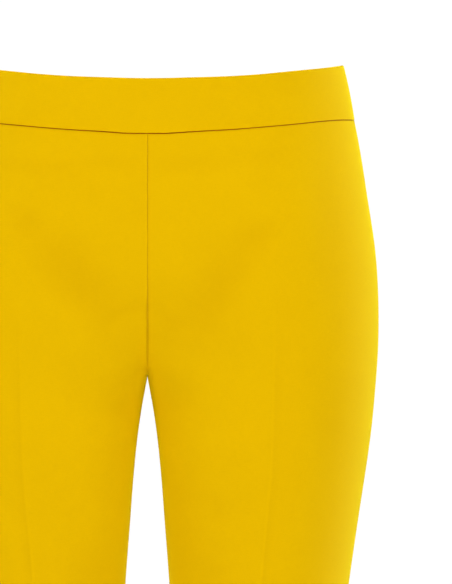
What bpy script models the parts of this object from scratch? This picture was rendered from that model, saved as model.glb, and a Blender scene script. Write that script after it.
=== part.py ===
"""Cigarette trousers, filled out as they are worn, with the waist and both hems open.

Metres, +Z up. The front faces -Y and the wearer's left is +X. The origin is on the
waist axis, level with the middle of the waistband at the centre front.

Each leg is lofted through level sections. A section is made of four quarter
superellipses: outer and inner, front and back. Above the crotch the inner quarters
are cut off at the centre plane, along the curve of the centre seam. Cloth panels are
open surfaces with Solidify, and each one stops short of its seams.
"""

from collections import namedtuple

import bpy
import bmesh
import numpy as np
from mathutils import Matrix, Vector

MM = 0.001

# Driving dimensions, in millimetres
HEM_Z = -901.0  # the open end of each leg
CROTCH_Z = -201.4  # where the two legs part
CROTCH_Y = -35.0
PANEL_WALL = 1.3  # cloth of the legs
BAND_WALL = 2.4  # the waistband is double
SEAM_GAP = 0.3  # between neighbouring pieces
ZIP_SLIT = 1.2  # between the back edges along the zip
ZIP_END_Z = -152.0
HINGE_Z = 25.0  # axis of the pull tab
HINGE_OUT = 1.9  # how far that axis stands off the waistband
PULL_LENGTH = 21.0
PULL_LEAN = 1.6  # degrees that the pull leans in, to lie on the cloth

# One row for each level section of the right-hand (+X) half.
# out: outer half width; mid: where the front and back reach furthest, and the crease;
# front, back: how far; side: the side seam's y; point: sharpness of front and back
Section = namedtuple("Section", "z out mid front back side point")
SECTIONS = [
    Section(45, 151.3, 8, -103.5, 104.5, 0.0, 2.10),
    Section(20, 156.4, 14, -105.0, 106.4, 0.0, 2.10),
    Section(-8, 161.9, 24, -107.0, 109.5, 0.5, 2.12),
    Section(-55, 170.1, 44, -111.3, 119.5, 1.5, 2.15),
    Section(-101, 177.2, 62, -111.6, 128.5, 3.0, 2.20),
    Section(-139, 179.8, 75, -109.5, 131.5, 4.0, 2.20),
    Section(-167, 179.9, 84, -106.5, 129.5, 4.0, 2.20),
    Section(-195, 178.8, 91, -102.5, 123.5, 3.0, 2.20),
    Section(-223, 176.2, 92.6, -99.5, 115.5, 2.5, 2.15),
    Section(-260, 171.9, 90.4, -96.5, 106.5, 2.0, 2.10),
    Section(-298, 166.3, 87.8, -94.0, 98.5, 1.0, 2.05),
    Section(-335, 161.0, 85.2, -91.5, 92.0, 0.5, 2.00),
    Section(-363, 156.6, 83.4, -89.0, 88.0, 0.0, 1.98),
    Section(-450, 145.8, 81.6, -79.5, 76.5, 0.0, 1.92),
    Section(-531, 137.0, 80.4, -69.5, 68.5, 1.0, 1.86),
    Section(-650, 130.5, 79.2, -58.5, 65.0, 3.5, 1.80),
    Section(-775, 128.0, 78.3, -50.5, 64.5, 7.0, 1.76),
    Section(-901, 127.0, 77.8, -45.0, 65.0, 10.0, 1.74),
]

# The inseam: half the gap between the legs, and the seam's y, by depth under the crotch
Inseam = namedtuple("Inseam", "drop gap y")
INSEAM = [
    Inseam(0, 0.15, -35.0),
    Inseam(10, 1.85, -34.5),
    Inseam(20, 3.65, -33.6),
    Inseam(38, 6.4, -31.5),
    Inseam(56, 8.6, -29.0),
    Inseam(75, 10.4, -26.5),
    Inseam(112, 13.2, -21.5),
    Inseam(158, 16.7, -16.0),
    Inseam(250, 21.6, -9.0),
    Inseam(330, 25.0, -4.5),
    Inseam(500, 28.0, 2.0),
    Inseam(700, 29.0, 8.0),
]

# The centre seam in the plane x = 0, from the waist down to the crotch
Rise = namedtuple("Rise", "y z")
FRONT_RISE = [
    Rise(-103.4, 45),
    Rise(-105.5, 10),
    Rise(-108.3, -20),
    Rise(-111.0, -55),
    Rise(-110.3, -100),
    Rise(-104.5, -138),
    Rise(-94.0, -166),
    Rise(-78.0, -186),
    Rise(-57.0, -198),
    Rise(-35.0, -201.4),
]
BACK_RISE = [
    Rise(104.3, 45),
    Rise(106.6, 10),
    Rise(110.2, -20),
    Rise(117.0, -60),
    Rise(119.0, -92),
    Rise(112.0, -126),
    Rise(94.0, -155),
    Rise(62.0, -179),
    Rise(18.0, -196),
    Rise(-35.0, -201.4),
]

# Edges of the waistband, by share of the way round: 0 at the side seam, 1 at the centre
Edge = namedtuple("Edge", "share front_top front_seam back_top back_seam")
BAND_EDGES = [
    Edge(0.0, 39.9, -3.2, 39.9, -3.2),
    Edge(0.075, 38.9, -4.2, 40.3, -2.6),
    Edge(0.16, 37.0, -5.1, 40.5, -2.3),
    Edge(0.22, 35.4, -5.8, 40.5, -2.2),
    Edge(0.3, 33.2, -7.2, 40.4, -2.3),
    Edge(0.38, 31.1, -9.0, 40.1, -2.5),
    Edge(0.49, 28.2, -11.9, 39.5, -2.9),
    Edge(0.6, 25.4, -14.5, 38.9, -3.3),
    Edge(0.72, 23.2, -17.0, 38.3, -3.9),
    Edge(0.85, 21.9, -18.9, 37.8, -4.5),
    Edge(0.94, 21.3, -20.2, 37.6, -4.9),
    Edge(1.0, 21.2, -20.3, 37.6, -5.0),
]

OUTER_COLUMNS, INNER_COLUMNS = 7, 8  # from the side seam to the crease, and on to the centre
ROWS_ABOVE, ROWS_BELOW = 13, 14  # over and under the crotch, closest together at it
FIRST_LEVEL = -34.0  # the row under the waist seam
BLEND_HEIGHT = 95.0  # over the crotch, where the columns leave the crease
BAND_STEPS = (0.0, 0.1, 0.9, 1.0)


def levels():
    """The cloth's rows, from under the waist seam to the hem."""
    above = [(k / ROWS_ABOVE) ** 2.1 for k in range(ROWS_ABOVE, 0, -1)]
    below = [(k / ROWS_BELOW) ** 1.5 for k in range(ROWS_BELOW + 1)]
    return [CROTCH_Z + (FIRST_LEVEL - CROTCH_Z) * k for k in above] + [
        CROTCH_Z + (HEM_Z - CROTCH_Z) * k for k in below
    ]


def near_ends(k, count):
    """Shares from 0 to 1 that lie closer together beside both ends."""
    return 0.425 * (1 - np.cos(np.pi * k / count)) + 0.15 * k / count


# ---- Tables to curves ----


def curve(rows, key, value):
    """A smooth curve through a table's rows: sorted keys, values and slopes."""
    table = sorted((getattr(row, key), getattr(row, value)) for row in rows)
    x = np.array([k for k, _ in table], float)
    y = np.array([v for _, v in table], float)
    step = np.diff(y) / np.diff(x)
    slope = np.empty_like(y)
    slope[0], slope[-1] = step[0], step[-1]
    near, far = np.diff(x)[:-1], np.diff(x)[1:]
    slope[1:-1] = (step[:-1] * far + step[1:] * near) / (near + far)
    return x, y, slope


def at(made, where):
    """The value of a curve from curve(), held at its ends."""
    x, y, slope = made
    where = min(max(where, x[0]), x[-1])
    i = min(max(int(np.searchsorted(x, where)) - 1, 0), len(x) - 2)
    h = x[i + 1] - x[i]
    t = (where - x[i]) / h
    return float(
        y[i] * (2 * t**3 - 3 * t**2 + 1)
        + y[i + 1] * (3 * t**2 - 2 * t**3)
        + slope[i] * h * (t**3 - 2 * t**2 + t)
        + slope[i + 1] * h * (t**3 - t**2)
    )


FORM = {name: curve(SECTIONS, "z", name) for name in Section._fields[1:]}
GAP = curve(INSEAM, "drop", "gap")
FORK = curve(INSEAM, "drop", "y")
EDGES = {name: curve(BAND_EDGES, "share", name) for name in Edge._fields[1:]}


def rise_curve(rows):
    """Dense points of the centre seam, for reading its y at a level."""
    steps = np.linspace(0, 1, len(rows))
    dense = np.linspace(0, 1, 400)
    keyed = [Inseam(s, row.y, row.z) for s, row in zip(steps, rows)]
    y = [at(curve(keyed, "drop", "gap"), s) for s in dense]
    z = [at(curve(keyed, "drop", "y"), s) for s in dense]
    order = np.argsort(z)
    return np.array(z)[order], np.array(y)[order]


RISES = {"front": rise_curve(FRONT_RISE), "back": rise_curve(BACK_RISE)}


# ---- The garment's outer surface ----


def centre_gap(half, z):
    """How far a piece's centre edge stays from the centre plane."""
    if half == "back" and z > ZIP_END_Z - 12:
        open_share = min(max((z - ZIP_END_Z + 12) / 12, 0), 1)
        return SEAM_GAP / 2 + (ZIP_SLIT - SEAM_GAP) / 2 * open_share
    return SEAM_GAP / 2


def section(half, z, trim=True):
    """Points (x, y) of the front or back half of the right-hand section, side seam to centre."""
    out, mid, side, point = (at(FORM[name], z) for name in ("out", "mid", "side", "point"))
    reach = at(FORM[half], z)
    drop = CROTCH_Z - z
    turn = np.linspace(0, np.pi / 2, 90)
    outer = np.column_stack([
        mid + (out - mid) * np.cos(turn) ** (2 / point),
        side + (reach - side) * np.sin(turn) ** (2 / 2.1),
    ])
    if drop > 0:
        fork, inner_end, start = at(FORK, drop), max(at(GAP, drop), SEAM_GAP / 2), 0.0
        wide = mid - inner_end
    else:
        fork = CROTCH_Y
        levels, depths = RISES[half]
        centre = float(np.interp(z, levels, depths))
        share = min((centre - fork) / (reach - fork), 0.9995)
        wide = mid / (1 - share**2.1) ** (1 / point)
        edge = centre_gap(half, z) if trim else 0.0
        start = np.arccos(min((mid - edge) / wide, 1.0) ** (point / 2))
    turn = np.linspace(np.pi / 2, start, 90)[1:]
    inner = np.column_stack([
        mid - wide * np.cos(turn) ** (2 / point),
        fork + (reach - fork) * np.sin(turn) ** (2 / 2.1),
    ])
    return np.vstack([outer, inner])


def lengths(points):
    return np.concatenate([[0], np.cumsum(np.linalg.norm(np.diff(points, axis=0), axis=1))])


def crease_share(k):
    """Column k's share of the stretch it is in: side seam to crease, or crease to inseam."""
    if k <= OUTER_COLUMNS:
        turn = np.pi / 2 * k / OUTER_COLUMNS
        return 0.75 * (1 - np.cos(turn)) + 0.25 * k / OUTER_COLUMNS
    t = (k - OUTER_COLUMNS) / INNER_COLUMNS
    return 0.75 * np.sin(np.pi / 2 * t) + 0.25 * t


def crease_columns(half, z, k, points, length):
    """How far round column k lies in a leg, where the columns keep beside the crease."""
    ridge = length[89]
    gap = SEAM_GAP / 2
    if k <= OUTER_COLUMNS:
        return gap + crease_share(k) * (ridge - gap)
    if z <= CROTCH_Z:
        return ridge + crease_share(k) * (length[-1] - gap - ridge)
    # Over the crotch an inner column keeps the share of the width that it has there
    low = section(half, CROTCH_Z - 0.01, False)
    low_length = lengths(low)
    x = np.interp(
        low_length[89] + crease_share(k) * (low_length[-1] - low_length[89]), low_length, low[:, 0]
    )
    share = (x - low[-1, 0]) / (low[89, 0] - low[-1, 0])
    wanted = points[-1, 0] + share * (points[89, 0] - points[-1, 0])
    return float(np.interp(-wanted, -points[89:, 0], length[89:]))


def on_section(half, z, k, trim=True):
    """The point of column k: 0 at the side seam, the last one at the centre or the inseam."""
    count = OUTER_COLUMNS + INNER_COLUMNS
    points = section(half, z, trim)
    length = lengths(points)
    where = crease_columns(half, z, k, points, length)
    if z > CROTCH_Z:
        gap = SEAM_GAP / 2
        even = gap + near_ends(k, count) * (length[-1] - gap)
        up = min((z - CROTCH_Z) / BLEND_HEIGHT, 1)
        where += up * up * (3 - 2 * up) * (even - where)
    return np.interp(where, length, points[:, 0]), np.interp(where, length, points[:, 1])


def band_level(half, edge, k):
    """The level of an edge of the waistband at column k."""
    count = OUTER_COLUMNS + INNER_COLUMNS
    return at(EDGES[half + "_" + edge], near_ends(k, count))


# ---- Building ----


def material(name, color, roughness, metallic=0.0):
    made = bpy.data.materials.new(name)
    made.use_nodes = True
    shader = made.node_tree.nodes["Principled BSDF"]
    shader.inputs["Base Color"].default_value = (*color, 1.0)
    shader.inputs["Roughness"].default_value = roughness
    shader.inputs["Metallic"].default_value = metallic
    made.diffuse_color = (*color, 1.0)
    return made


def grid_object(name, rows, wall, made, parent, flip=False):
    """A panel: rows of points (in mm) as an open surface, thickened inwards."""
    mesh = bmesh.new()
    lines = [[mesh.verts.new(Vector(p) * MM) for p in row] for row in rows]
    for upper, lower in zip(lines, lines[1:]):
        for a, b, c, d in zip(upper, upper[1:], lower[1:], lower):
            mesh.faces.new((a, d, c, b) if flip else (a, b, c, d))
    data = bpy.data.meshes.new(name)
    mesh.to_mesh(data)
    mesh.free()
    data.materials.append(made)
    data.shade_smooth()
    obj = bpy.data.objects.new(name, data)
    obj.parent = parent
    thick = obj.modifiers.new("wall", "SOLIDIFY")
    thick.thickness = wall * MM
    thick.offset = -1
    thick.use_even_offset = False
    return obj


def leg_panel(name, half, side, made, parent):
    """A front or back leg from the waist seam to the hem; side is 1 for +X, -1 for -X."""
    rows = []
    centre = band_level(half, "seam", OUTER_COLUMNS + INNER_COLUMNS)
    for level in [None] + levels():
        row = []
        for k in range(OUTER_COLUMNS + INNER_COLUMNS + 1):
            seam = band_level(half, "seam", k)
            if level is None:
                z = seam - SEAM_GAP / 2
            else:
                fade = min(max((level + 175) / 141, 0), 1) ** 2
                z = level + fade * 0.8 * (seam - centre)
            x, y = on_section(half, z, k)
            row.append((side * x, y, z))
        rows.append(row)
    return grid_object(name, rows, PANEL_WALL, made, parent, (side > 0) != (half == "front"))


def band_rows(half, side):
    rows = []
    for step in BAND_STEPS:
        row = []
        for k in range(OUTER_COLUMNS + INNER_COLUMNS + 1):
            top, seam = (band_level(half, edge, k) for edge in ("top", "seam"))
            z = top + step * (seam + SEAM_GAP / 2 - top)
            x, y = on_section(half, z, k, trim=half == "back")
            row.append((side * x, y, z))
        rows.append(row)
    return rows


def whole_band(name, made, parent):
    """The front waistband, cut on the fold: no seam at the centre."""
    right, left = band_rows("front", 1), band_rows("front", -1)
    rows = [a + b[::-1][1:] for a, b in zip(right, left)]
    return grid_object(name, rows, BAND_WALL, made, parent)


def half_band(name, side, made, parent):
    return grid_object(name, band_rows("back", side), BAND_WALL, made, parent, side > 0)


# ---- The concealed zip ----


def back_y(x, z):
    """The outer surface's y at the back, near the centre."""
    points = section("back", z, trim=False)[::-1]
    return float(np.interp(x, points[:, 0], points[:, 1]))


def zip_tape(made, parent):
    """The tape and its closed coil, behind the back edges from under the slider down."""
    half_width, thick = 12.5, 0.8
    seam = band_level("back", "seam", OUTER_COLUMNS + INNER_COLUMNS)
    places = [(z, BAND_WALL + 0.5) for z in (19.0, seam + 4.0, seam)]
    places += [(z, PANEL_WALL + 1.0) for z in levels() if z > ZIP_END_Z] + [(ZIP_END_Z - 6, PANEL_WALL + 1.0)]
    rows = [
        [(x, min(back_y(abs(x), z), back_y(0, z)) - clear, z) for x in np.linspace(-half_width, half_width, 9)]
        for z, clear in places
    ]
    return grid_object("zip_tape", rows, thick, made, parent)


def solid(kind, collection, **size):
    """A primitive as an object of its own in this collection."""
    mesh = bmesh.new()
    if kind == "box":
        bmesh.ops.create_cube(mesh, size=1.0)
        bmesh.ops.scale(mesh, vec=Vector(size["sides"]) * MM, verts=mesh.verts)
    else:
        bmesh.ops.create_cone(
            mesh, cap_ends=True, segments=size["segments"], depth=size["length"] * MM,
            radius1=size["radius"] * MM, radius2=size["radius"] * MM,
        )
        bmesh.ops.rotate(mesh, matrix=Matrix.Rotation(np.pi / 2, 3, "Y"), verts=mesh.verts)
    data = bpy.data.meshes.new(size["name"])
    mesh.to_mesh(data)
    mesh.free()
    obj = bpy.data.objects.new(size["name"], data)
    obj.location = Vector(size.get("centre", (0, 0, 0))) * MM
    collection.objects.link(obj)
    return obj


def cut_with(obj, tool, operation):
    tool.hide_render = True
    tool.display_type = "WIRE"
    boolean = obj.modifiers.new(operation.lower() + "_" + tool.name, "BOOLEAN")
    boolean.operation = operation
    boolean.object = tool


def zip_slider(hinge, made, collection, tools):
    """The slider behind the slit, its neck through it and the cross pin that holds the pull."""
    body = solid("box", collection, name="zip_slider", sides=(5.6, 2.6, 8.5),
                 centre=(0, -HINGE_OUT - BAND_WALL - 0.5 - 1.3, -1.2))
    body.data.materials.append(made)
    round_off = body.modifiers.new("rounded", "BEVEL")
    round_off.width = 0.7 * MM
    round_off.segments = 2
    neck = solid("box", tools, name="slider_neck", sides=(0.6, 6.4, 1.0),
                 centre=(0, -2.9, 0))
    pin = solid("rod", tools, name="slider_pin", radius=0.55, length=4.4, segments=16)
    for tool in (neck, pin):
        tool.parent = hinge
        cut_with(body, tool, "UNION")
    body.parent = hinge
    return body


def zip_pull(hinge, made, collection, tools):
    """A teardrop tab with two knuckles round the cross pin, hanging down on the cloth."""
    outline = bpy.data.curves.new("pull_outline", "CURVE")
    outline.dimensions = "2D"
    outline.fill_mode = "BOTH"
    outline.extrude = 0.5 * MM
    shape = outline.splines.new("POLY")
    places = [(-1.9, 0.0), (-1.5, -4.0), (-1.5, -7.0)]
    for turn in np.linspace(np.pi * 0.93, np.pi * 2.07, 13):
        places.append((2.9 * np.cos(turn), -PULL_LENGTH + 2.9 + 3.6 + 2.9 * np.sin(turn) * 1.25 - 2.8))
    places += [(1.5, -7.0), (1.5, -4.0), (1.9, 0.0)]
    shape.points.add(len(places) - 1)
    for point, (x, z) in zip(shape.points, places):
        point.co = (x * MM, z * MM, 0, 1)
    shape.use_cyclic_u = True
    drawn = bpy.data.objects.new("pull_outline", outline)
    tools.objects.link(drawn)
    bpy.context.view_layer.update()
    data = bpy.data.meshes.new_from_object(
        drawn.evaluated_get(bpy.context.evaluated_depsgraph_get())
    )
    bpy.data.objects.remove(drawn)
    mesh = bmesh.new()
    mesh.from_mesh(data)
    bmesh.ops.remove_doubles(mesh, verts=mesh.verts, dist=1e-6)
    bmesh.ops.rotate(mesh, matrix=Matrix.Rotation(np.pi / 2, 3, "X"), verts=mesh.verts)
    bmesh.ops.recalc_face_normals(mesh, faces=mesh.faces)
    mesh.to_mesh(data)
    mesh.free()
    data.name = "zip_pull"
    data.materials.clear()
    data.materials.append(made)
    pull = bpy.data.objects.new("zip_pull", data)
    collection.objects.link(pull)
    knuckle = solid("rod", tools, name="pull_knuckle", radius=1.5, length=3.8, segments=20)
    bore = solid("rod", tools, name="pull_bore", radius=0.9, length=8.0, segments=16)
    slot = solid("box", tools, name="pull_slot", sides=(1.3, 6.0, 5.6), centre=(0, 0, 0))
    eye = solid("rod", tools, name="pull_eye", radius=1.0, length=6.0, segments=14)
    eye.matrix_world = Matrix.Translation((0, 0, -15.2 * MM)) @ Matrix.Rotation(np.pi / 2, 4, "Z")
    for tool, operation in ((knuckle, "UNION"), (bore, "DIFFERENCE"), (slot, "DIFFERENCE"), (eye, "DIFFERENCE")):
        tool.parent = pull
        cut_with(pull, tool, operation)
    pull.rotation_euler = (-np.radians(PULL_LEAN), 0, 0)
    pull.parent = hinge
    return pull


def main():
    for obj in list(bpy.data.objects):
        bpy.data.objects.remove(obj, do_unlink=True)
    scene = bpy.context.scene
    garment = bpy.data.collections.new("cigarette_trousers")
    tools = bpy.data.collections.new("cutters")
    scene.collection.children.link(garment)
    scene.collection.children.link(tools)
    trousers = bpy.data.objects.new("trousers", None)
    garment.objects.link(trousers)

    yellow = (0.83, 0.50, 0.004)
    for side, word in ((1, "left"), (-1, "right")):
        for half in ("front", "back"):
            name = half + "_" + word
            panel = leg_panel(name, half, side, material(name + "_cloth", yellow, 0.9), trousers)
            garment.objects.link(panel)
        name = "waistband_back_" + word
        garment.objects.link(half_band(name, side, material(name + "_cloth", yellow, 0.9), trousers))
    garment.objects.link(
        whole_band("waistband_front", material("waistband_front_cloth", yellow, 0.9), trousers)
    )
    garment.objects.link(zip_tape(material("zip_tape_woven", (0.72, 0.42, 0.01), 0.75), trousers))

    hinge = bpy.data.objects.new("pull_hinge", None)
    garment.objects.link(hinge)
    hinge.parent = trousers
    surface = back_y(0, HINGE_Z)
    lean = np.arctan2(back_y(0, HINGE_Z - 12) - back_y(0, HINGE_Z + 8), 20)
    hinge.location = Vector((0, surface + HINGE_OUT, HINGE_Z)) * MM
    hinge.rotation_euler = (lean, 0, 0)
    zip_slider(hinge, material("zip_slider_metal", (0.62, 0.38, 0.02), 0.4, 0.6), garment, tools)
    zip_pull(hinge, material("zip_pull_metal", (0.62, 0.38, 0.02), 0.35, 0.6), garment, tools)
    bpy.context.view_layer.update()


main()
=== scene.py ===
"""The looks of a pair of cigarette trousers, filled out as they are worn.

Matte yellow stretch cloth, a wide shaped waistband, pressed creases, darts at the back
and a concealed zip at the centre back. Metres, +Z up; the front faces -Y and the wearer's
left is +X. The tables are in millimetres.

Every panel is one thin sheet. Its middle surface is a grid that follows the form's level
sections, and turns in at its seams: round a small bend, and back along the inside as the
pressed-open allowance. The hems and the waistband's inner layer turn up the same way.
"""

import math
from collections import namedtuple

import bpy
import bmesh
import numpy as np
from mathutils import Matrix, Vector


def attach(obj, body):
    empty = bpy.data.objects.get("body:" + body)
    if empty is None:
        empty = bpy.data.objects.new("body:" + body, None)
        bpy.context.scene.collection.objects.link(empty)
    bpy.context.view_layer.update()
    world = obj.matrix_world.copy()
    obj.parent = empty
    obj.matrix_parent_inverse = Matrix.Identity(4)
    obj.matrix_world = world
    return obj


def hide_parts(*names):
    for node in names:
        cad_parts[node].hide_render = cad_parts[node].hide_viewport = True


MM = 0.001

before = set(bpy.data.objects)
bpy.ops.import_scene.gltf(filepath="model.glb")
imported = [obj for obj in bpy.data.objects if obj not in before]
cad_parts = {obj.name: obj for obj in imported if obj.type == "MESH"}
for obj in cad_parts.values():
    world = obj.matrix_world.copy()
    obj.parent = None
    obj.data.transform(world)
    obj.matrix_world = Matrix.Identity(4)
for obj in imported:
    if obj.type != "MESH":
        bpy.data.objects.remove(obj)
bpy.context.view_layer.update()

# ---- The form, the same as the solids have ----

HEM_Z = -901.0
CROTCH_Z = -201.4
CROTCH_Y = -35.0
ZIP_END_Z = -152.0
HINGE_Z = 25.0
HINGE_OUT = 1.9
PULL_LENGTH = 21.0
FIRST_LEVEL = -34.0
BLEND_HEIGHT = 95.0

Section = namedtuple("Section", "z out mid front back side point")
SECTIONS = [
    Section(45, 151.3, 8, -103.5, 104.5, 0.0, 2.10),
    Section(20, 156.4, 14, -105.0, 106.4, 0.0, 2.10),
    Section(-8, 161.9, 24, -107.0, 109.5, 0.5, 2.12),
    Section(-55, 170.1, 44, -111.3, 119.5, 1.5, 2.15),
    Section(-101, 177.2, 62, -111.6, 128.5, 3.0, 2.20),
    Section(-139, 179.8, 75, -109.5, 131.5, 4.0, 2.20),
    Section(-167, 179.9, 84, -106.5, 129.5, 4.0, 2.20),
    Section(-195, 178.8, 91, -102.5, 123.5, 3.0, 2.20),
    Section(-223, 176.2, 92.6, -99.5, 115.5, 2.5, 2.15),
    Section(-260, 171.9, 90.4, -96.5, 106.5, 2.0, 2.10),
    Section(-298, 166.3, 87.8, -94.0, 98.5, 1.0, 2.05),
    Section(-335, 161.0, 85.2, -91.5, 92.0, 0.5, 2.00),
    Section(-363, 156.6, 83.4, -89.0, 88.0, 0.0, 1.98),
    Section(-450, 145.8, 81.6, -79.5, 76.5, 0.0, 1.92),
    Section(-531, 137.0, 80.4, -69.5, 68.5, 1.0, 1.86),
    Section(-650, 130.5, 79.2, -58.5, 65.0, 3.5, 1.80),
    Section(-775, 128.0, 78.3, -50.5, 64.5, 7.0, 1.76),
    Section(-901, 127.0, 77.8, -45.0, 65.0, 10.0, 1.74),
]

Inseam = namedtuple("Inseam", "drop gap y")
INSEAM = [
    Inseam(0, 0.15, -35.0),
    Inseam(10, 1.85, -34.5),
    Inseam(20, 3.65, -33.6),
    Inseam(38, 6.4, -31.5),
    Inseam(56, 8.6, -29.0),
    Inseam(75, 10.4, -26.5),
    Inseam(112, 13.2, -21.5),
    Inseam(158, 16.7, -16.0),
    Inseam(250, 21.6, -9.0),
    Inseam(330, 25.0, -4.5),
    Inseam(500, 28.0, 2.0),
    Inseam(700, 29.0, 8.0),
]

Rise = namedtuple("Rise", "y z")
FRONT_RISE = [
    Rise(-103.4, 45),
    Rise(-105.5, 10),
    Rise(-108.3, -20),
    Rise(-111.0, -55),
    Rise(-110.3, -100),
    Rise(-104.5, -138),
    Rise(-94.0, -166),
    Rise(-78.0, -186),
    Rise(-57.0, -198),
    Rise(-35.0, -201.4),
]
BACK_RISE = [
    Rise(104.3, 45),
    Rise(106.6, 10),
    Rise(110.2, -20),
    Rise(117.0, -60),
    Rise(119.0, -92),
    Rise(112.0, -126),
    Rise(94.0, -155),
    Rise(62.0, -179),
    Rise(18.0, -196),
    Rise(-35.0, -201.4),
]

Edge = namedtuple("Edge", "share front_top front_seam back_top back_seam")
BAND_EDGES = [
    Edge(0.0, 39.9, -3.2, 39.9, -3.2),
    Edge(0.075, 38.9, -4.2, 40.3, -2.6),
    Edge(0.16, 37.0, -5.1, 40.5, -2.3),
    Edge(0.22, 35.4, -5.8, 40.5, -2.2),
    Edge(0.3, 33.2, -7.2, 40.4, -2.3),
    Edge(0.38, 31.1, -9.0, 40.1, -2.5),
    Edge(0.49, 28.2, -11.9, 39.5, -2.9),
    Edge(0.6, 25.4, -14.5, 38.9, -3.3),
    Edge(0.72, 23.2, -17.0, 38.3, -3.9),
    Edge(0.85, 21.9, -18.9, 37.8, -4.5),
    Edge(0.94, 21.3, -20.2, 37.6, -4.9),
    Edge(1.0, 21.2, -20.3, 37.6, -5.0),
]

# The pressed crease, and over it the back dart: its x at each level
Crease = namedtuple("Crease", "z x")
CREASE = [
    Crease(46, 76.0),
    Crease(-8, 82.0),
    Crease(-60, 88.5),
    Crease(-101, 91.6),
    Crease(-140, 93.0),
    Crease(-175, 93.2),
    Crease(-213, 92.8),
    Crease(-250, 92.0),
    Crease(-272, 91.0),
    Crease(-298, 88.8),
    Crease(-335, 85.4),
    Crease(-363, 83.4),
    Crease(-450, 81.0),
    Crease(-531, 80.0),
    Crease(-650, 79.2),
    Crease(-775, 78.3),
    Crease(-901, 77.8),
]

# ---- How the cloth is made up, in millimetres ----

CLOTH = 0.6  # thickness of one layer
TURN = 0.375  # radius of a pressed fold, at the middle of the cloth
ROLL = TURN + CLOTH / 2  # the same fold, at its outside
STEP = 0.75  # a second layer lies this much deeper than the first
ALLOWANCE = 10.0  # seam allowance, pressed open
HEM_TURN = 35.0
DART_LENGTH = 100.0
SEAM_GAP = -0.009  # the two bends of a seam are pressed together by its stitches
SLIT = 0.16  # each back edge keeps this far from the centre, along the zip
SLIDER_SLIT = 0.45  # and this far where the slider's neck comes through
FORK_SOFT = 22.0  # over the crotch the cloth rounds the form's corner over this height


def curve(rows, key, value):
    """A smooth curve through a table's rows: sorted keys, values and slopes."""
    table = sorted((getattr(row, key), getattr(row, value)) for row in rows)
    x = np.array([k for k, _ in table], float)
    y = np.array([v for _, v in table], float)
    step = np.diff(y) / np.diff(x)
    slope = np.empty_like(y)
    slope[0], slope[-1] = step[0], step[-1]
    near, far = np.diff(x)[:-1], np.diff(x)[1:]
    slope[1:-1] = (step[:-1] * far + step[1:] * near) / (near + far)
    return x, y, slope


def at(made, where):
    """The value of a curve from curve(), held at its ends."""
    x, y, slope = made
    where = np.clip(where, x[0], x[-1])
    i = np.clip(np.searchsorted(x, where) - 1, 0, len(x) - 2)
    h = x[i + 1] - x[i]
    t = (where - x[i]) / h
    return (
        y[i] * (2 * t**3 - 3 * t**2 + 1)
        + y[i + 1] * (3 * t**2 - 2 * t**3)
        + slope[i] * h * (t**3 - 2 * t**2 + t)
        + slope[i + 1] * h * (t**3 - t**2)
    )


def smooth(low, high, value):
    """0 under low, 1 over high, and a smooth step between."""
    t = np.clip((value - low) / (high - low), 0, 1)
    return t * t * (3 - 2 * t)


FORM = {name: curve(SECTIONS, "z", name) for name in Section._fields[1:]}
GAP = curve(INSEAM, "drop", "gap")
FORK = curve(INSEAM, "drop", "y")
EDGES = {name: curve(BAND_EDGES, "share", name) for name in Edge._fields[1:]}
CREASE_X = curve(CREASE, "z", "x")


def rise_curve(rows):
    """Dense points of the centre seam, for reading its y at a level."""
    steps = np.linspace(0, 1, len(rows))
    dense = np.linspace(0, 1, 2400)
    keyed = [Inseam(s, row.y, row.z) for s, row in zip(steps, rows)]
    y = at(curve(keyed, "drop", "gap"), dense)
    z = at(curve(keyed, "drop", "y"), dense)
    order = np.argsort(z)
    return z[order], y[order]


RISES = {"front": rise_curve(FRONT_RISE), "back": rise_curve(BACK_RISE)}


def section(half, z):
    """Points (x, y) of the front or back half of the right-hand section, side seam to centre."""
    out, mid, side, point = (float(at(FORM[name], z)) for name in ("out", "mid", "side", "point"))
    reach = float(at(FORM[half], z))
    drop = CROTCH_Z - z
    turn = np.linspace(0, np.pi / 2, 240)
    outer = np.column_stack([
        mid + (out - mid) * np.cos(turn) ** (2 / point),
        side + (reach - side) * np.sin(turn) ** (2 / 2.1),
    ])
    if drop > 0:
        fork, start = float(at(FORK, drop)), 0.0
        wide = mid - (float(at(GAP, drop)) - 0.15 * math.exp(-drop / 15))
    else:
        fork = CROTCH_Y
        levels, depths = RISES[half]
        centre = float(np.interp(z, levels, depths))
        share = min((centre - fork) / (reach - fork), 0.9995)
        wide = mid / (1 - share**2.1) ** (1 / point)
        start = math.acos(min(mid / wide, 1.0) ** (point / 2))
    turn = np.linspace(np.pi / 2, start, 240)[1:]
    inner = np.column_stack([
        mid - wide * np.cos(turn) ** (2 / point),
        fork + (reach - fork) * np.sin(turn) ** (2 / 2.1),
    ])
    return np.vstack([outer, inner])


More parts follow.
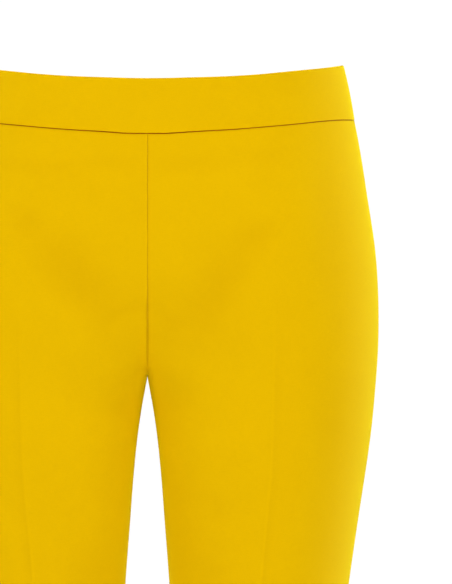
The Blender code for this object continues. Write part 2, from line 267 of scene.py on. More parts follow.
class Form:
    """One half of the garment's outer surface, read at any level and distance round it."""

    SAMPLES = 360

    def __init__(self, half):
        self.half = half
        above = 250.0 * (np.arange(1, 421) / 420) ** 1.8
        below = 703.0 * (np.arange(0, 421) / 420) ** 1.5
        self.z = np.concatenate([CROTCH_Z - below[::-1], CROTCH_Z + above])
        self.rings, self.length, self.ridge = [], [], []
        table = []
        for z in self.z:
            points = section(half, z)
            run = np.concatenate([[0], np.cumsum(np.linalg.norm(np.diff(points, axis=0), axis=1))])
            self.rings.append((points, run))
            self.length.append(run[-1])
            self.ridge.append(np.interp(-float(at(CREASE_X, z)), -points[:, 0], run))
            even = np.linspace(0, run[-1], self.SAMPLES)
            table.append([np.interp(even, run, points[:, 0]), np.interp(even, run, points[:, 1])])
        self.length, self.ridge = np.array(self.length), np.array(self.ridge)
        table = np.array(table)
        levels = np.repeat(self.z[:, None], self.SAMPLES, axis=1)
        self.grid = np.stack([table[:, 0], table[:, 1], levels], axis=2)
        across = np.gradient(self.grid, axis=1)
        along = np.gradient(self.grid, self.z, axis=0)
        normal = np.cross(across, along)
        normal /= np.linalg.norm(normal, axis=2, keepdims=True) + 1e-12
        outward = np.sign((normal[:, :, 1] * (1 if half == "back" else -1)).sum())
        self.normal = normal * outward

    def read(self, z, run):
        """Points and outward normals at levels z and distances run from the side seam."""
        length = np.interp(z, self.z, self.length)
        share = np.clip(run / length, 0, 1) * (self.SAMPLES - 1)
        j = np.clip(share.astype(int), 0, self.SAMPLES - 2)
        b = (share - j)[..., None]
        i = np.clip(np.searchsorted(self.z, z) - 1, 0, len(self.z) - 2)
        a = np.clip((z - self.z[i]) / (self.z[i + 1] - self.z[i]), 0, 1)[..., None]
        found = []
        for field in (self.grid, self.normal):
            found.append(
                field[i, j] * (1 - a) * (1 - b)
                + field[i, j + 1] * (1 - a) * b
                + field[i + 1, j] * a * (1 - b)
                + field[i + 1, j + 1] * a * b
            )
        points, normals = found
        points[..., 2] = z
        return points, normals / np.linalg.norm(normals, axis=-1, keepdims=True)

    def spread(self, shares):
        """Distances from the side seam of columns that lie at these shares, at each level.

        Shares are from 0 at the side seam to 1 at the crease and on to 2 at the centre or
        the inseam. Over the crotch the inner columns keep their share of the width, which
        lets them run on without a sideways jump, and higher up they spread out evenly.
        """
        shares = np.asarray(shares, float)
        low = int(np.argmin(np.abs(self.z - (CROTCH_Z - 0.01))))
        points, run = self.rings[low]
        ridge, end = self.ridge[low], self.length[low]
        inner = np.clip(shares - 1, 0, 1)
        x = np.interp(ridge + inner * (end - ridge), run, points[:, 0])
        x_ridge, x_end = np.interp(ridge, run, points[:, 0]), points[-1, 0]
        width_share = (x - x_end) / (x_ridge - x_end)
        rows = []
        for level, (points, run), ridge, end in zip(self.z, self.rings, self.ridge, self.length):
            even = np.where(shares <= 1, shares * ridge, ridge + inner * (end - ridge))
            up = float(smooth(0, BLEND_HEIGHT, level - CROTCH_Z))
            if level > CROTCH_Z and up < 1:
                x_ridge = np.interp(ridge, run, points[:, 0])
                wanted = points[-1, 0] + width_share * (x_ridge - points[-1, 0])
                kept = np.interp(-wanted, -points[:, 0], run)
                kept = np.where(shares <= 1, even, np.maximum(kept, ridge))
                even = kept + up * (even - kept)
            rows.append(even)
        return np.array(rows)


HALVES = {half: Form(half) for half in ("front", "back")}


# ---- Folds ----

# A soft ridge (depth over 0) or trough (under 0) on one half, in its (x, z) seen from the
# front or the back. x is from the centre; side is 0 for both legs, or 1 or -1 for one. bow
# bends the line, to the left of its direction; width is half of its own width.
Fold = namedtuple("Fold", "half side x0 z0 x1 z1 bow width depth")
FOLDS = [
    # Under the waist seam, where the allowances end
    Fold("front", 1, 6, -42, 62, -41, -2.0, 7.0, -0.95),
    Fold("front", 1, 66, -40, 112, -36, 1.0, 7.5, -0.60),
    Fold("front", -1, 8, -41, 40, -43, 1.0, 7.0, -0.70),
    Fold("front", -1, 44, -45, 110, -41, -3.0, 7.5, -1.15),
    Fold("front", 0, 10, -60, 96, -56, 2.0, 10.0, 0.45),
    # From the hips down to the crotch
    Fold("front", 1, 100, -82, 66, -100, 2.0, 9.0, -1.10),
    Fold("front", 1, 74, -100, 26, -162, 6.0, 20.0, -1.75),
    Fold("front", -1, 98, -78, 78, -94, 0.0, 8.0, -0.90),
    Fold("front", -1, 82, -96, 28, -160, -5.0, 19.0, -1.85),
    Fold("front", 0, 0, -120, 2, -160, 0.0, 27.0, -1.05),
    Fold("front", 1, 98, -110, 52, -168, -4.0, 12.0, 0.70),
    Fold("front", -1, 102, -112, 56, -170, 4.0, 12.0, 0.75),
    Fold("front", 0, 2, -84, 3, -108, 0.0, 15.0, 0.55),
    # The arch over the crotch and what hangs from it
    Fold("front", 1, 6, -151, 30, -163, -3.0, 5.0, -0.75),
    Fold("front", -1, 6, -150, 32, -164, 4.0, 5.5, -0.85),
    Fold("front", 0, 3, -191, 32, -200, -2.0, 13.0, 2.35),
    Fold("front", 1, 18, -218, 26, -232, 2.0, 8.0, -0.50),
    Fold("front", -1, 17, -217, 27, -230, -2.0, 8.5, -0.55),
    # The thighs
    Fold("front", 1, 58, -254, 100, -258, 0.0, 33.0, 2.40),
    Fold("front", -1, 60, -256, 102, -254, 0.0, 33.0, 2.35),
    Fold("front", 1, 52, -240, 58, -268, 0.0, 17.0, 0.60),
    Fold("front", -1, 54, -244, 60, -272, 0.0, 17.0, 0.60),
    Fold("front", 1, 42, -286, 60, -306, 3.0, 11.0, -0.90),
    Fold("front", -1, 44, -288, 63, -304, -3.0, 11.0, -0.85),
    Fold("front", 1, 44, -322, 50, -372, 3.0, 14.0, -0.70),
    Fold("front", -1, 46, -328, 50, -368, -3.0, 14.0, -0.66),
    # Beside the side seams
    Fold("front", 1, 126, -26, 137, -170, 5.0, 11.0, -0.85),
    Fold("front", -1, 126, -30, 137, -164, 6.0, 11.0, -0.80),
    Fold("front", 1, 135, -176, 118, -352, 6.0, 13.0, -0.70),
    Fold("front", -1, 135, -172, 119, -346, 7.0, 13.0, -0.65),
    # The knees
    Fold("front", 1, 50, -448, 108, -462, 7.0, 8.0, -1.55),
    Fold("front", -1, 54, -458, 112, -446, -6.0, 8.0, -1.45),
    Fold("front", 1, 52, -472, 90, -470, 4.0, 6.0, -0.80),
    Fold("front", 0, 64, -492, 96, -496, 0.0, 17.0, 1.95),
    Fold("front", 1, 46, -524, 94, -536, -7.0, 7.5, -1.70),
    Fold("front", -1, 50, -532, 104, -524, 6.0, 7.5, -1.50),
    Fold("front", 1, 78, -552, 118, -572, 3.0, 6.5, -1.15),
    Fold("front", -1, 86, -548, 112, -556, -3.0, 6.0, -0.85),
    Fold("front", -1, 44, -566, 70, -584, -3.0, 7.0, -0.80),
    # The shins
    Fold("front", 1, 56, -640, 66, -720, 4.0, 11.0, -0.80),
    Fold("front", -1, 62, -650, 54, -716, -4.0, 11.0, -0.70),
    # Over the hems
    Fold("front", 1, 44, -796, 88, -812, 6.0, 8.0, -1.35),
    Fold("front", -1, 48, -806, 96, -792, -6.0, 8.0, -1.30),
    Fold("front", 1, 64, -836, 112, -824, 4.0, 7.5, -1.15),
    Fold("front", -1, 58, -830, 104, -838, -4.0, 7.0, -1.05),
    Fold("front", 0, 70, -866, 108, -858, 2.0, 7.0, -0.60),
    # Under the seat
    Fold("back", 1, 14, -172, 92, -204, -15.0, 7.5, -2.40),
    Fold("back", -1, 16, -176, 98, -200, 14.0, 7.5, -2.25),
    Fold("back", 1, 20, -200, 118, -230, -14.0, 8.0, -2.25),
    Fold("back", -1, 18, -206, 106, -236, 15.0, 8.5, -2.45),
    Fold("back", 1, 28, -238, 94, -264, -8.0, 7.5, -1.60),
    Fold("back", -1, 32, -246, 112, -262, 8.0, 7.5, -1.45),
    Fold("back", 1, 26, -270, 60, -300, -5.0, 8.0, -1.05),
    Fold("back", -1, 24, -276, 56, -298, 5.0, 8.0, -1.00),
    Fold("back", 1, 22, -222, 66, -232, 3.0, 6.0, 0.75),
    # Across the seat
    Fold("back", 1, 12, -104, 64, -140, -8.0, 11.0, -1.05),
    Fold("back", -1, 12, -110, 60, -142, 8.0, 11.0, -1.00),
    Fold("back", 0, 60, -118, 92, -124, 0.0, 24.0, 1.10),
    Fold("back", 1, 22, -36, 112, -30, 3.0, 8.0, -0.75),
    Fold("back", -1, 20, -34, 108, -34, -3.0, 8.0, -0.80),
    # Down the thighs
    Fold("back", 1, 104, -250, 96, -360, 4.0, 12.0, -1.10),
    Fold("back", -1, 102, -260, 96, -352, -4.0, 12.0, -1.05),
    Fold("back", 1, 52, -330, 60, -420, -4.0, 14.0, -0.85),
    Fold("back", -1, 54, -340, 58, -412, 4.0, 14.0, -0.90),
    # Behind the knees
    Fold("back", 1, 42, -446, 112, -462, -7.0, 6.5, -2.10),
    Fold("back", -1, 44, -456, 118, -446, 7.0, 6.5, -1.95),
    Fold("back", 1, 48, -476, 124, -482, 6.0, 7.0, -2.75),
    Fold("back", -1, 42, -480, 112, -488, -6.0, 7.0, -2.60),
    Fold("back", 1, 60, -498, 100, -494, 3.0, 5.0, 1.05),
    Fold("back", 1, 40, -514, 106, -506, 5.0, 6.5, -1.95),
    Fold("back", -1, 52, -510, 122, -520, -6.0, 6.5, -2.10),
    Fold("back", 1, 54, -546, 110, -554, 4.0, 8.0, -1.30),
    Fold("back", -1, 46, -552, 100, -544, -4.0, 8.0, -1.25),
    Fold("back", 1, 60, -584, 96, -604, 4.0, 9.0, -0.75),
    # Down the calves and over the heels
    Fold("back", 1, 96, -640, 88, -740, 4.0, 11.0, -0.80),
    Fold("back", -1, 60, -650, 66, -742, -4.0, 11.0, -0.75),
    Fold("back", 1, 44, -812, 108, -826, 7.0, 7.5, -1.70),
    Fold("back", -1, 48, -822, 112, -810, -7.0, 7.5, -1.55),
    Fold("back", 1, 56, -850, 104, -844, -4.0, 6.5, -1.20),
    Fold("back", -1, 50, -846, 98, -854, 4.0, 6.5, -1.10),
]

WAVES = [  # slow unevenness of the whole cloth: waves per metre, phase and height
    (7.0, 4.6, 0.4, 0.16),
    (-5.3, 8.2, 2.1, 0.14),
    (11.0, -3.1, 4.4, 0.08),
    (3.7, 15.3, 1.3, 0.07),
]


def fold_depths(half, side, x, z):
    """How far the cloth stands out (over 0) or in at points of one panel, in millimetres."""
    total = np.zeros_like(x)
    for f in FOLDS:
        if f.half != half or f.side not in (0, side):
            continue
        dx, dz = f.x1 - f.x0, f.z1 - f.z0
        long = math.hypot(dx, dz)
        t = ((x - f.x0) * dx + (z - f.z0) * dz) / long**2
        off = (-(x - f.x0) * dz + (z - f.z0) * dx) / long
        inside = np.clip(t, 0, 1)
        off = off - f.bow * 4 * inside * (1 - inside)
        past = (t - inside) * long
        soft = np.sin(np.pi * np.clip(0.16 + 0.68 * inside, 0, 1)) ** 1.3
        total += f.depth * soft * np.exp(-(off**2 + past**2) / f.width**2)
    for across, along, phase, height in WAVES:
        total += height * np.sin(2 * np.pi * (across * x * side + along * z) * MM + phase + (half == "back"))
    return total


# ---- Sheets ----


def bend(count):
    """Angles round a fold, from one layer to the other."""
    return np.linspace(0, np.pi, count + 2)[1:-1]


def shell(name, mid, outward, thick, cloth, painted_light_and_shade, made):
    """A closed thin shell about a grid of points, in mm, with what its material reads."""
    rows, cols = mid.shape[:2]
    normal = np.cross(np.gradient(mid, axis=1), np.gradient(mid, axis=0))
    normal /= np.linalg.norm(normal, axis=2, keepdims=True) + 1e-12
    middle = (slice(rows // 3, 2 * rows // 3), slice(cols // 3, 2 * cols // 3))
    flip = (normal[middle] * outward[middle]).sum() < 0
    normal = -normal if flip else normal
    points = np.concatenate([
        (mid + normal * thick / 2).reshape(-1, 3),
        (mid - normal * thick / 2).reshape(-1, 3),
    ]) * MM
    index = np.arange(rows * cols).reshape(rows, cols)
    under = index + rows * cols

    def quads(a, b, c, d):
        return np.stack([v.reshape(-1) for v in (a, b, c, d)], axis=1)

    front = quads(index[:-1, :-1], index[:-1, 1:], index[1:, 1:], index[1:, :-1])
    back = quads(under[:-1, :-1], under[1:, :-1], under[1:, 1:], under[:-1, 1:])
    rims = [
        quads(index[0, 1:], index[0, :-1], under[0, :-1], under[0, 1:]),
        quads(index[-1, :-1], index[-1, 1:], under[-1, 1:], under[-1, :-1]),
        quads(index[:-1, 0], index[1:, 0], under[1:, 0], under[:-1, 0]),
        quads(index[1:, -1], index[:-1, -1], under[:-1, -1], under[1:, -1]),
    ]
    faces = np.concatenate([front, back] + rims)
    if flip:
        faces = faces[:, ::-1]
    mesh = mesh_of(name, points, faces)
    give(mesh, "cloth", np.concatenate([cloth.reshape(-1, 3)] * 2) * MM, "FLOAT_VECTOR", "vector")
    # painted light and shade for the material: painted shade below 0, painted highlight over 0
    give(mesh, "painted_light_and_shade", np.concatenate([painted_light_and_shade.reshape(-1)] * 2), "FLOAT", "value")
    inside = np.concatenate([np.zeros(rows * cols), np.ones(rows * cols)])
    give(mesh, "wrong_side", inside, "FLOAT", "value")
    return piece(name, mesh, made)


def mesh_of(name, points, faces):
    """A smooth mesh from arrays of points and of four-cornered faces."""
    mesh = bpy.data.meshes.new(name)
    mesh.vertices.add(len(points))
    mesh.vertices.foreach_set("co", np.asarray(points, np.float32).ravel())
    mesh.loops.add(faces.size)
    mesh.loops.foreach_set("vertex_index", faces.astype(np.int32).ravel())
    mesh.polygons.add(len(faces))
    mesh.polygons.foreach_set("loop_start", np.arange(0, faces.size, 4, dtype=np.int32))
    mesh.polygons.foreach_set("loop_total", np.full(len(faces), 4, np.int32))
    mesh.update(calc_edges=True)
    mesh.validate()
    mesh.shade_smooth()
    return mesh


def give(mesh, name, values, kind, field):
    made = mesh.attributes.new(name, kind, "POINT")
    made.data.foreach_set(field, np.asarray(values, np.float32).ravel())


def piece(name, mesh, made, body="trousers"):
    obj = bpy.data.objects.new(name, mesh)
    bpy.context.scene.collection.objects.link(obj)
    mesh.materials.append(made)
    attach(obj, body)
    return obj


# ---- The legs ----


def column_plan(half, dart):
    """Columns of a panel: kind, share or offset, layer share, and turned-in length."""
    turned = [(a, 1.0) for a in (ALLOWANCE, 7.5, 5.0, 2.6, 1.0, 0.0)]
    folds = bend(5)
    near = (0.35, 0.8, 1.4, 2.3, 3.8)
    plan = [("side", a, m) for a, m in turned]
    plan += [("side_fold", angle, None) for angle in folds[::-1]]
    plan += [("share", s, 0.0) for s in 0.945 * near_ends_share(np.linspace(0, 1, 34), 0.35)]
    plan += [("crease", -a, 0.0) for a in near[::-1]] + [("crease", 0.0, 0.0)]
    plan += [("crease", a, 0.0) for a in near]
    plan += [("share", 1.06 + 0.94 * s, 0.0) for s in near_ends_share(np.linspace(0, 1, 42), 0.45)]
    plan += [("centre_fold", angle, None) for angle in folds]
    plan += [("centre", a, m) for a, m in turned[::-1]]
    return plan


def near_ends_share(t, much):
    """Shares from 0 to 1 that lie closer together beside both ends."""
    return (1 - much) * t + much * 0.5 * (1 - np.cos(np.pi * t))


class Columns:
    """Where each column of a panel lies, at any level."""

    def __init__(self, half):
        self.half = half
        self.form = HALVES[half]
        plan = column_plan(half, half == "back")
        form = self.form
        self.count = len(plan)
        levels = form.z
        side_gap = SEAM_GAP
        centre_gap = np.full(len(levels), SEAM_GAP)
        if half == "back":
            centre_gap += (SLIT - SEAM_GAP) * smooth(ZIP_END_Z - 8, ZIP_END_Z + 2, levels)
            centre_gap += (SLIDER_SLIT - SLIT) * smooth(9, 19, levels)
        self.centre_gap = centre_gap
        shares = [value for kind, value, _ in plan if kind == "share"]
        spread = form.spread(shares + [1.0])
        usable = (form.length - side_gap - centre_gap - 2 * ROLL) / form.length
        spread = side_gap + ROLL + spread * usable[:, None]
        self.crease = spread[:, -1]
        self.runs = np.zeros((len(levels), self.count))
        self.layer = np.zeros(self.count)  # 0 for the panel, 1 for its allowance
        self.turned = np.zeros(self.count)  # how far past its edge a column lies, laid flat
        self.edge = np.array(["side" if k < self.count // 2 else "centre" for k in range(self.count)])
        n = 0
        for k, (kind, value, layer) in enumerate(plan):
            if kind == "share":
                self.runs[:, k] = spread[:, n]
                n += 1
            elif kind == "crease":
                self.runs[:, k] = self.crease + value
            else:
                sign = 1 if kind.startswith("side") else -1
                base = np.full(len(levels), side_gap) if sign > 0 else form.length - centre_gap
                if kind.endswith("fold"):
                    self.layer[k] = 0.5 * (1 - math.cos(value))
                    self.turned[k] = TURN * value
                    self.runs[:, k] = base + sign * (ROLL - TURN * math.sin(value))
                else:
                    self.layer[k] = layer
                    self.turned[k] = TURN * math.pi + value
                    self.runs[:, k] = base + sign * (ROLL + value)

    def at(self, z):
        """Each column's distance from the side seam at levels z, one row for each."""
        made = np.empty_like(z)
        for k in range(self.count):
            made[:, k] = np.interp(z[:, k], self.form.z, self.runs[:, k])
        return made

    def crease_at(self, z):
        return np.interp(z, self.form.z, self.crease)

    def gap_at(self, z):
        return np.interp(z, self.form.z, self.centre_gap)

    def surface(self, z):
        """The form under every column, with the corner at the crotch's level rounded off."""
        points, normal = self.form.read(z, self.at(z))
        fork = np.full((1, self.count), CROTCH_Z - 0.01)
        from_centre = (self.length_at(fork) - self.at(fork))[0]
        reach = np.clip(0.8 * (from_centre - 1.5), 0.0, FORK_SOFT) * (self.layer == 0)
        low, high = (fork - reach), (fork + reach)
        ends = []
        for level, away in ((low, -0.6), (high, 0.6)):
            here = self.form.read(level.copy(), self.at(level))
            there = self.form.read(level + away, self.at(level + away))
            ends.append([(a, (b - a) / away) for a, b in zip(here, there)])
        t = np.clip((z - low) / np.maximum(high - low, 1e-6), 0, 1)
        inside = ((t > 0) & (t < 1) & (reach > 0.3))[..., None]
        t, h = t[..., None], (high - low)[..., None]
        found = []
        for field, (a, da), (b, db) in zip((points, normal), ends[0], ends[1]):
            bent = (
                a * (2 * t**3 - 3 * t**2 + 1) + b * (3 * t**2 - 2 * t**3)
                + da * h * (t**3 - 2 * t**2 + t) + db * h * (t**3 - t**2)
            )
            found.append(np.where(inside, bent, field))
        points, normal = found
        points[..., 2] = z
        return points, normal / np.linalg.norm(normal, axis=-1, keepdims=True)

    def length_at(self, z):
        return np.interp(z, self.form.z, self.form.length)

    def shares(self):
        """Each column's share of the way round at the waist."""
        z = np.full((1, self.count), -8.0)
        return (self.at(z) / self.length_at(z))[0]


COLUMNS = {half: Columns(half) for half in ("front", "back")}


def stand_out(half, side, points, run, form_z, columns, slope_end):
    """The folds, crease and dart of a panel, in mm out from the form, and the soft painted shade of its folds."""
    z = points[..., 2]
    from_side = run
    from_centre = columns.length_at(z) - run
    depth = fold_depths(half, side, points[..., 0], z)
    seam_fade = smooth(0, 13, from_side)
    inseam_fade = smooth(0, 13, from_centre)
    over = smooth(-197, -172, z)
    depth *= seam_fade * (over + (1 - over) * inseam_fade)
    # painted shade: the colour darkens with a trough's depth and lightens a little on a ridge
    shade = 0.045 * np.clip(depth, -2.5, 0.8)
    off = run - columns.crease_at(z)
    if half == "front":
        # the wearer's right edge lies a little higher than the left along the centre seam
        lift = 0.22 if side < 0 else -0.08
        depth += lift * np.exp(-((from_centre / 2.2) ** 2)) * smooth(-150, -120, z)
        height = 0.05 + 0.23 * smooth(-240, -880, z)
        height *= smooth(-118, -215, z)
    else:
        height = (0.06 + 0.24 * smooth(-240, -880, z)) * smooth(-112, -190, z)
        down = np.clip((slope_end - z) / DART_LENGTH, 0, 1.2)
        sewn = np.clip(1 - down, 0, 1) ** 0.5
        depth += -0.62 * sewn * np.exp(-((off / 0.5) ** 2)) + 0.16 * sewn * np.exp(-((np.abs(off) - 1.7) / 1.1) ** 2)
        depth += -0.35 * np.exp(-((off / 5.0) ** 2) - ((down - 1.03) / 0.07) ** 2)
    depth += 1.5 * height * np.exp(-((off / 0.75) ** 2)) + 2.2 * height * np.exp(-((off / 4.6) ** 2))
    depth -= 0.7 * height * np.exp(-(((off + 3.4) / 2.4) ** 2))
    # the sewn line draws the cloth in a little
    depth -= 0.07 * np.exp(-((from_side / 2.2) ** 2)) + 0.07 * np.exp(-((from_centre / 2.2) ** 2))
    return depth, shade


def hem_layers(columns, run, length):
    """The depths of the middle of the cloth: the panel's, and its turned-up hem's."""
    near_seam = np.minimum(run, length - run)
    spare = 1 - smooth(9.5, 17.0, near_seam)
    outer = CLOTH / 2 + STEP * columns.layer
    inner = 1.45 + spare * 1.1 - STEP * columns.layer
    return outer, inner


def meet_at_centre(columns, mid, z, run):
    """Moves each row over the crotch sideways until its seam edge just meets the centre."""
    near = 1 - smooth(0, 14, columns.length_at(z) - run)
    near = np.where((columns.layer > 0) & (columns.edge == "centre"), 1.0, near)
    reach = (mid[..., 0] + 1e3 * (near < 0.5)).min(axis=1)
    shift = CLOTH / 2 + columns.gap_at(z[:, -1]) - reach
    over = smooth(CROTCH_Z - 0.5, CROTCH_Z + 1.5, z[:, -1])
    mid[..., 0] += near * (shift * over)[:, None]


def leg(half, side, made):
    word = "left" if side > 0 else "right"
    columns, form = COLUMNS[half], HALVES[half]
    seam = at(EDGES[half + "_seam"], columns.shares())
    centre_seam = float(at(EDGES[half + "_seam"], 1.0))
    base = CLOTH / 2 + STEP * columns.layer
    levels, depths = [], []
    # Over the waist seam the cloth goes on up, behind the waistband's turned edge
    for rise in (9.0, 6.5, 4.0, 2.0, 1.0):
        levels.append(seam + rise)
        depths.append(base + 1.5)
    for angle in np.radians((90, 67, 45, 22, 0)):
        levels.append(seam + 0.55 - 0.45 * math.cos(angle))
        depths.append(base + 1.05 + 0.45 * math.sin(angle))
    for angle in np.radians((0, 18, 36, 54, 72, 90)):
        levels.append(seam - 0.35 + 0.45 * math.cos(angle))
        depths.append(base + 0.45 - 0.45 * math.sin(angle))
    for drop in (0.6, 1.0, 1.6, 2.4, 3.5, 5.0, 6.8, 9.0, 11.4):
        levels.append(seam - drop)
        depths.append(base)
    above = CROTCH_Z + (FIRST_LEVEL - CROTCH_Z) * (np.arange(86, 0, -1) / 86) ** 1.7
    below = CROTCH_Z + (HEM_Z + 3.4 - CROTCH_Z) * (np.arange(0, 201) / 200) ** 1.2
    for level in np.concatenate([above, below]):
        fade = float(np.clip((level + 175) / 141, 0, 1)) ** 2
        levels.append(level + fade * 0.8 * (seam - centre_seam))
        depths.append(base)
    # The hem
    low = np.full((1, columns.count), HEM_Z + 1.0)
    outer, inner = hem_layers(columns, columns.at(low)[0], columns.length_at(low)[0])
    radius = (inner - outer) / 2
    spare = 1 - smooth(9.5, 17.0, np.minimum(columns.at(low)[0], (columns.length_at(low) - columns.at(low))[0]))
    fold_z = HEM_Z + CLOTH / 2 + 0.575 + spare * 0.55
    levels.append(fold_z)
    depths.append(outer)
    for angle in bend(7):
        levels.append(fold_z - radius * math.sin(angle))
        depths.append(outer + radius * (1 - math.cos(angle)))
    for up in (0.0, 1.0, 3.0, 6.0, 10.0, 15.0, 20.0, 25.0, 29.0, 32.0, HEM_TURN - 1.0):
        levels.append(fold_z + up)
        depths.append(inner)
    z, depth = np.array(levels), np.array(depths)
    run = columns.at(z)
    points, normal = columns.surface(z)
    out, shade = stand_out(half, side, points, run, z, columns, seam[columns.count // 2])
    waist_fade = smooth(-1.0, 9.0, seam - z)
    out = out * waist_fade
    mid = points + normal * (out - depth)[..., None]
    meet_at_centre(columns, mid, z, run)
    mid[..., 0] *= side
    outward = normal * np.array([side, 1, 1])
    length = columns.length_at(z)
    past = np.where(columns.edge == "side", -1, 1) * (columns.turned - ROLL * (columns.turned > 0))
    u = run - columns.crease_at(z)
    u = np.where(columns.layer > 0, np.where(columns.edge == "side", 0 - columns.crease_at(z), length - columns.crease_at(z)) + past, u)
    v = np.concatenate([[np.zeros(columns.count)], np.cumsum(np.linalg.norm(np.diff(mid, axis=0), axis=2), axis=0)])
    cloth = np.stack([u * side, -v, np.full_like(u, 0.0 if half == "front" else 500.0)], axis=2)
    # Painted shade down in the seams' bends, under the waistband's edge and in the folds' troughs, and a painted
    # highlight along the pressed crease and beside the centre front seam
    # how much painted shade goes down in each seam's bend: more along the centre front seam
    dark = 0.75 + (0.45 * (1 - smooth(-170, -120, z)) + 0.15) * (half == "front") * (z > CROTCH_Z)
    painted_light_and_shade = shade - dark * smooth(0.04, 0.30, STEP * columns.layer) * (columns.layer < 0.99)
    # painted shadow on the cloth where it goes up under the waistband's edge
    painted_light_and_shade = np.minimum(painted_light_and_shade, -1.6 * smooth(0.0, 0.14, depth - base) * (z > seam - 3))
    # painted shadow line just under the waist seam
    painted_light_and_shade = painted_light_and_shade - 0.2 * np.exp(-(((seam - z - 0.35) / 0.45) ** 2)) * (columns.layer == 0)
    from_centre = columns.length_at(z) - run
    if half == "front":
        flat = (columns.layer == 0) * smooth(-196, -186, z)
        low = 1 - smooth(-178, -110, z)
        much = (0.08 if side < 0 else 0.18) + 0.60 * low
        # painted shade along the centre front seam's groove
        painted_light_and_shade = painted_light_and_shade - much * np.exp(-((from_centre / (0.5 + 0.45 * low)) ** 2)) * flat
        if side < 0:
            # painted highlight on the rolled edge beside the seam, on the wearer's right panel
            painted_light_and_shade = painted_light_and_shade + 0.9 * np.exp(-(((from_centre - 1.0) / 0.45) ** 2)) * flat * smooth(-150, -120, z)
        else:
            # painted shade just beside the seam, on the wearer's left panel
            painted_light_and_shade = painted_light_and_shade - 0.05 * np.exp(-(((from_centre - 1.0) / 0.6) ** 2)) * flat
    else:
        down = np.clip((seam[columns.count // 2] - z) / DART_LENGTH, 0, 1.0)
        sewn = (1 - down) ** 0.4 * (columns.layer == 0) * (z < seam - 0.6)
        # painted shade down the back dart's sewn line
        painted_light_and_shade = painted_light_and_shade - 0.6 * sewn * np.exp(-(((run - columns.crease_at(z)) / 0.36) ** 2))
    # painted highlight along the pressed crease, with a faint painted shade beside it
    pressed = smooth(-118, -215, z) if half == "front" else smooth(-112, -190, z)
    pressed = pressed * (0.45 + 0.55 * smooth(-240, -520, z)) * (columns.layer == 0)
    painted_light_and_shade = painted_light_and_shade + pressed * (0.9 * np.exp(-((u / 0.55) ** 2)) - 0.085 * np.exp(-(((u + 2.4) / 2.0) ** 2)))
    obj = shell(half + "_" + word + "_cloth", mid, outward, CLOTH, cloth, painted_light_and_shade, made)
    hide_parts(half + "_" + word)
    return obj


# ---- The waistband ----


def band_levels(half, shares, at_centre):
    """The levels of a waistband piece's lower seam and of its top edge, at each share of the way round."""
    seam = at(EDGES[half + "_seam"], shares) + 0.32
    top = at(EDGES[half + "_top"], shares)
    return seam, top


